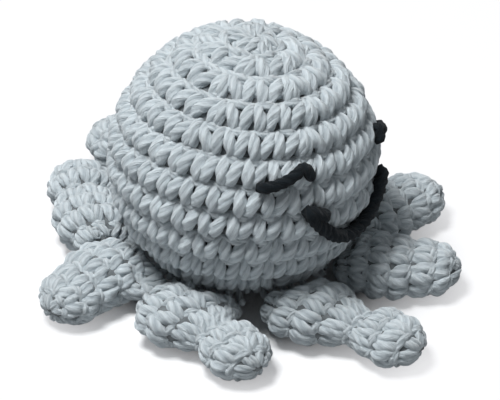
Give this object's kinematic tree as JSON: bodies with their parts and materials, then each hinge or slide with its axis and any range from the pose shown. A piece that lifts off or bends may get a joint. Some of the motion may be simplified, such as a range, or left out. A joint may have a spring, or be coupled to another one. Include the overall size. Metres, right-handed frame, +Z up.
{
  "type": "stuffed octopus cat toy",
  "caption": "Crocheted octopus cat toy: a stuffed ball of single crochet with a sleepy stitched face, on short stuffed arms sewn on underneath, with a pouch of dried catnip inside.",
  "frame": {"origin": "middle of the flat underside on which the ball stands, on the drawn-in yarn of its last round", "axes": "+Z up through the ball's middle, -Y out of the middle of the face, +X to the right as seen from in front of the face"},
  "size_m": [0.0722, 0.0807, 0.0444],
  "materials": {
    "yarn": "matte cotton yarn",
    "face_thread": "matte cotton thread",
    "filling": "loose fibre",
    "pouch_cloth": "plain woven cotton",
    "dried_herb": "dried crumbled leaf"
  },
  "bodies": {
    "head": {"head_shell": "yarn", "head_filling": "filling", "closing_wad": "filling", "closing_yarn": "yarn", "catnip_pouch": "pouch_cloth", "pouch_tie": "yarn", "dried_catnip": "dried_herb", "left_eye_stitch": "face_thread", "right_eye_stitch": "face_thread", "mouth_stitch": "face_thread", "arm_right_back_seam": "yarn", "arm_back_right_seam": "yarn", "arm_back_left_seam": "yarn", "arm_left_back_seam": "yarn", "arm_left_front_seam": "yarn", "arm_front_left_seam": "yarn", "arm_front_right_seam": "yarn", "arm_right_front_seam": "yarn"},
    "arm_right_back": {"arm_right_back_shell": "yarn", "arm_right_back_filling": "filling"},
    "arm_back_right": {"arm_back_right_shell": "yarn", "arm_back_right_filling": "filling"},
    "arm_back_left": {"arm_back_left_shell": "yarn", "arm_back_left_filling": "filling"},
    "arm_left_back": {"arm_left_back_shell": "yarn", "arm_left_back_filling": "filling"},
    "arm_left_front": {"arm_left_front_shell": "yarn", "arm_left_front_filling": "filling"},
    "arm_front_left": {"arm_front_left_shell": "yarn", "arm_front_left_filling": "filling"},
    "arm_front_right": {"arm_front_right_shell": "yarn", "arm_front_right_filling": "filling"},
    "arm_right_front": {"arm_right_front_shell": "yarn", "arm_right_front_filling": "filling"}
  },
  "joints": [
    {"name": "arm_right_back_lift", "type": "hinge", "parent": "head", "child": "arm_right_back", "pos_m": [0.01643, 0.0068, 0.004], "axis": [0.3827, -0.9239, 0], "range_deg": [-40, 12], "stiffness_Nm_per_rad": 0.0003},
    {"name": "arm_back_right_lift", "type": "hinge", "parent": "head", "child": "arm_back_right", "pos_m": [0.0068, 0.01643, 0.004], "axis": [0.9239, -0.3827, 0], "range_deg": [-40, 12], "stiffness_Nm_per_rad": 0.0003},
    {"name": "arm_back_left_lift", "type": "hinge", "parent": "head", "child": "arm_back_left", "pos_m": [-0.0068, 0.01643, 0.004], "axis": [0.9239, 0.3827, 0], "range_deg": [-40, 12], "stiffness_Nm_per_rad": 0.0003},
    {"name": "arm_left_back_lift", "type": "hinge", "parent": "head", "child": "arm_left_back", "pos_m": [-0.01618, 0.00737, 0.004], "axis": [0.4147, 0.91, 0], "range_deg": [-40, 12], "stiffness_Nm_per_rad": 0.0003},
    {"name": "arm_left_front_lift", "type": "hinge", "parent": "head", "child": "arm_left_front", "pos_m": [-0.01676, -0.00593, 0.004], "axis": [-0.3338, 0.9426, 0], "range_deg": [-40, 12], "stiffness_Nm_per_rad": 0.0003},
    {"name": "arm_front_left_lift", "type": "hinge", "parent": "head", "child": "arm_front_left", "pos_m": [-0.0068, -0.01643, 0.004], "axis": [-0.9239, 0.3827, 0], "range_deg": [-40, 12], "stiffness_Nm_per_rad": 0.0003},
    {"name": "arm_front_right_lift", "type": "hinge", "parent": "head", "child": "arm_front_right", "pos_m": [0.0068, -0.01643, 0.004], "axis": [-0.9239, -0.3827, 0], "range_deg": [-40, 12], "stiffness_Nm_per_rad": 0.0003},
    {"name": "arm_right_front_lift", "type": "hinge", "parent": "head", "child": "arm_right_front", "pos_m": [0.01577, -0.00821, 0.004], "axis": [-0.4617, -0.887, 0], "range_deg": [-40, 12], "stiffness_Nm_per_rad": 0.0003}
  ]
}
